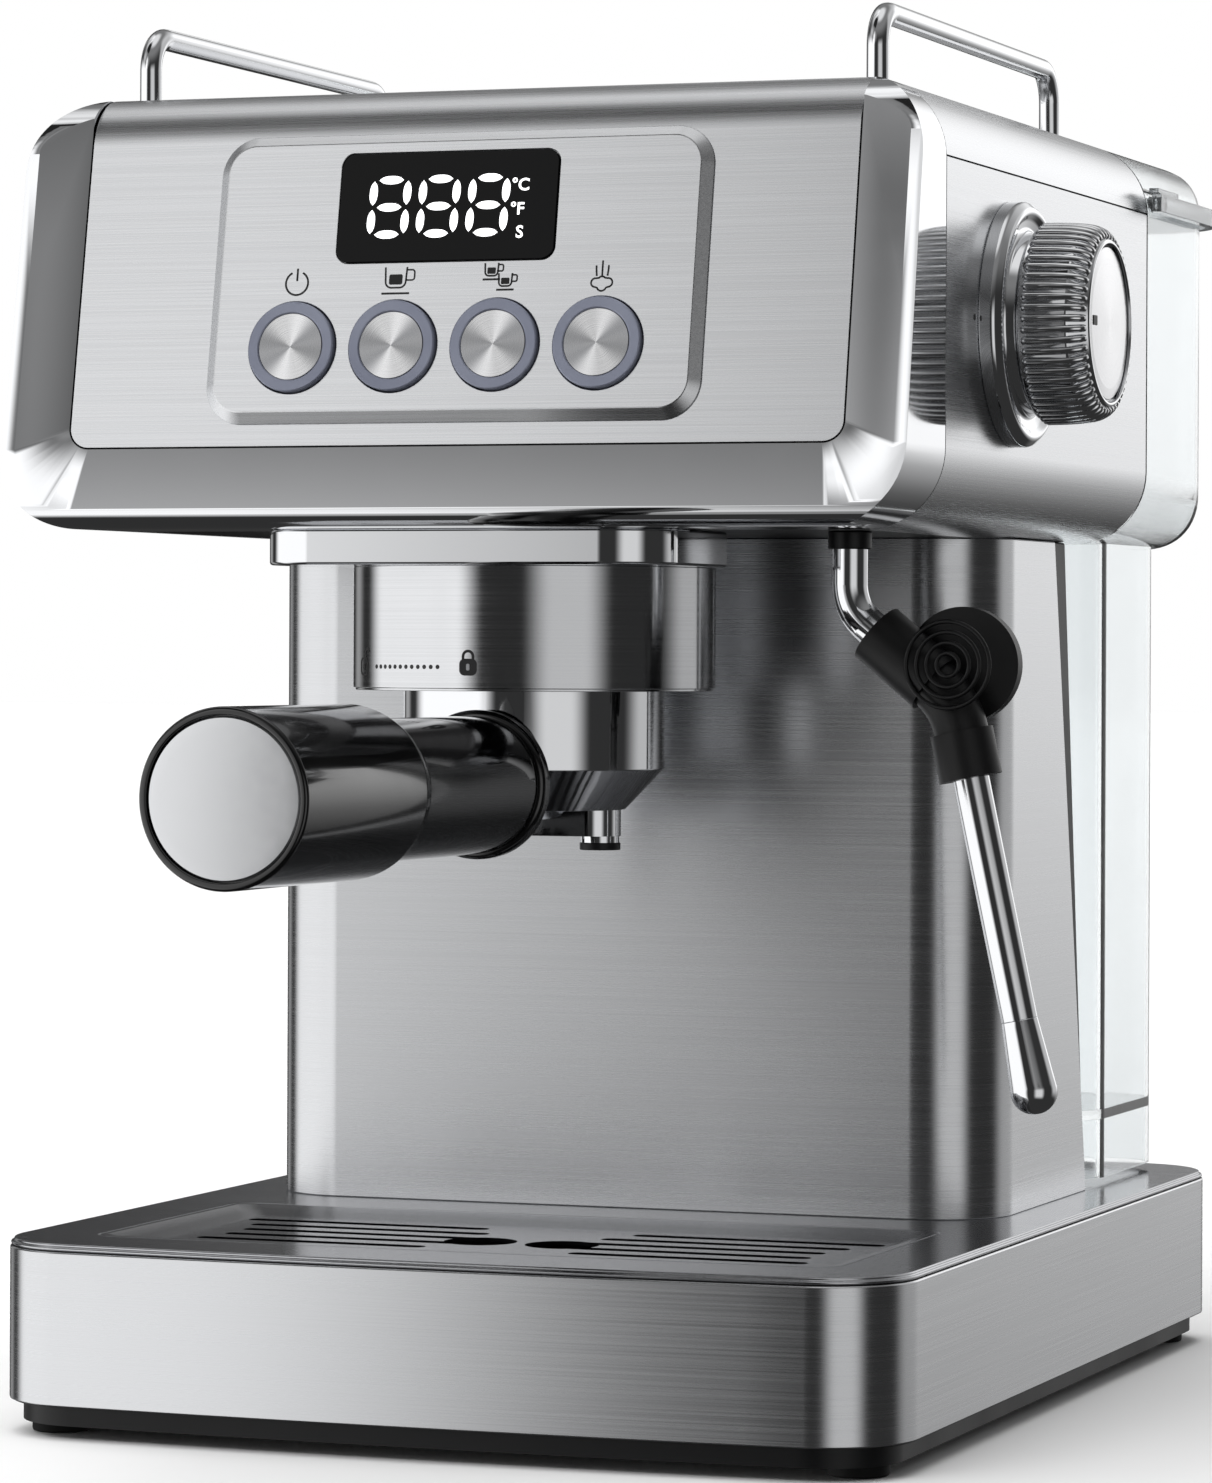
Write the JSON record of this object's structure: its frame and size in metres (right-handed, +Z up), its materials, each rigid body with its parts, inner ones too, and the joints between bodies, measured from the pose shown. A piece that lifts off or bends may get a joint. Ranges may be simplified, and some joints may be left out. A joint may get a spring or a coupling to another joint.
{
  "type": "espresso machine",
  "caption": "Pump espresso machine with a leaning control panel, twist-in filter holder, steam wand, drip tray, cup rails and a lift-off water tank.",
  "frame": {"origin": "on the table under the middle of the whole object's box", "axes": "+X to the machine's right hand as its user sees it, +Y to its back, +Z up"},
  "size_m": [0.2416, 0.4014, 0.323],
  "materials": {
    "black_plastic": "fine-textured moulded black plastic",
    "rubber": "matte black rubber",
    "brushed_steel": "stainless steel brushed in level lines",
    "deck_steel": "pressed stainless steel with a satin sheen",
    "chrome": "polished chrome",
    "satin_metal": "satin spun aluminium",
    "zinc": "plain zinc-plated steel",
    "handle_plastic": "polished black plastic",
    "silicone": "matte black silicone",
    "display_glass": "dark glossy window",
    "circuit_board": "green glass-fibre circuit board",
    "button_plastic": "translucent grey-blue plastic",
    "brass": "machined brass",
    "cast_aluminium": "die-cast aluminium",
    "gasket": "dark brown silicone",
    "clear_plastic": "clear moulded plastic",
    "smoky_plastic": "smoky moulded plastic",
    "hose_rubber": "milky silicone hose",
    "pump_steel": "grey-blue painted steel"
  },
  "bodies": {
    "machine": {"base_pan": "black_plastic", "base_skirt": "brushed_steel", "deck_plate": "deck_steel", "feet": "rubber", "base_screws": "zinc", "column_shell": "brushed_steel", "column_back": "black_plastic", "cord_gland": "rubber", "head_shell": "brushed_steel", "head_frame": "black_plastic", "top_cover": "brushed_steel", "front_bezel": "chrome", "front_panel": "brushed_steel", "control_frame": "satin_metal", "display_window": "display_glass", "display_board": "circuit_board", "dial_plate": "chrome", "steam_valve": "brass", "mount_plate": "chrome", "group_collar": "chrome", "group_gasket": "gasket", "shower_screen": "brushed_steel", "screen_screw": "zinc", "thermoblock": "cast_aluminium", "wand_nut": "black_plastic", "rail_left": "chrome", "rail_right": "chrome", "valve_seat": "black_plastic", "pump": "pump_steel", "pump_mounts": "rubber", "hoses": "hose_rubber", "power_board": "circuit_board"},
    "power_button": {"power_button": "button_plastic", "power_disc": "satin_metal"},
    "single_button": {"single_button": "button_plastic", "single_disc": "satin_metal"},
    "double_button": {"double_button": "button_plastic", "double_disc": "satin_metal"},
    "steam_button": {"steam_button": "button_plastic", "steam_disc": "satin_metal"},
    "steam_knob": {"knob_body": "chrome", "knob_face": "satin_metal", "knob_shaft": "zinc"},
    "wand": {"wand_tube": "chrome", "wand_grip": "silicone", "wand_tip": "chrome"},
    "filter_holder": {"holder_body": "chrome", "filter_basket": "brushed_steel", "basket_spring": "zinc", "spout": "chrome", "nozzles": "rubber", "handle_flange": "handle_plastic", "handle_grip": "handle_plastic", "handle_cap": "satin_metal"},
    "drip_tray": {"drip_tray": "black_plastic"},
    "drip_grille": {"drip_grille": "deck_steel"},
    "water_tank": {"tank": "clear_plastic", "tank_valve": "black_plastic"},
    "tank_lid": {"tank_lid": "smoky_plastic"},
    "tank_bail": {"tank_bail": "smoky_plastic"}
  },
  "joints": [
    {"name": "power_press", "type": "slide", "parent": "machine", "child": "power_button", "axis": [0, 0.9848, -0.1736], "range_m": [0, 0.0012], "stiffness_N_per_m": 400},
    {"name": "single_press", "type": "slide", "parent": "machine", "child": "single_button", "axis": [0, 0.9848, -0.1736], "range_m": [0, 0.0012], "stiffness_N_per_m": 400},
    {"name": "double_press", "type": "slide", "parent": "machine", "child": "double_button", "axis": [0, 0.9848, -0.1736], "range_m": [0, 0.0012], "stiffness_N_per_m": 400},
    {"name": "steam_press", "type": "slide", "parent": "machine", "child": "steam_button", "axis": [0, 0.9848, -0.1736], "range_m": [0, 0.0012], "stiffness_N_per_m": 400},
    {"name": "steam_turn", "type": "hinge", "parent": "machine", "child": "steam_knob", "pos_m": [0.1103, -0.00145, 0.2527], "axis": [1, 0, 0], "range_deg": [0, 270]},
    {"name": "wand_swing", "type": "hinge", "parent": "machine", "child": "wand", "pos_m": [0.069, -0.03275, 0.2], "axis": [0, 0, 1], "range_deg": [-100, 40]},
    {"name": "holder_turn", "type": "hinge", "parent": "machine", "child": "filter_holder", "pos_m": [-0.0097, -0.02475, 0.17], "axis": [0, 0, 1], "range_deg": [-50, 0]},
    {"name": "tray_lift", "type": "slide", "parent": "machine", "child": "drip_tray", "axis": [0, 0, 1], "range_m": [0, 0.03]},
    {"name": "grille_lift", "type": "slide", "parent": "drip_tray", "child": "drip_grille", "axis": [0, 0, 1], "range_m": [0, 0.012]},
    {"name": "tank_lift", "type": "slide", "parent": "machine", "child": "water_tank", "axis": [0, 0, 1], "range_m": [0, 0.15]},
    {"name": "lid_open", "type": "hinge", "parent": "water_tank", "child": "tank_lid", "pos_m": [-0.0097, 0.18825, 0.2926], "axis": [1, 0, 0], "range_deg": [-90, 0]},
    {"name": "bail_lift", "type": "hinge", "parent": "water_tank", "child": "tank_bail", "pos_m": [-0.0097, 0.12485, 0.2897], "axis": [1, 0, 0], "range_deg": [0, 90]}
  ]
}
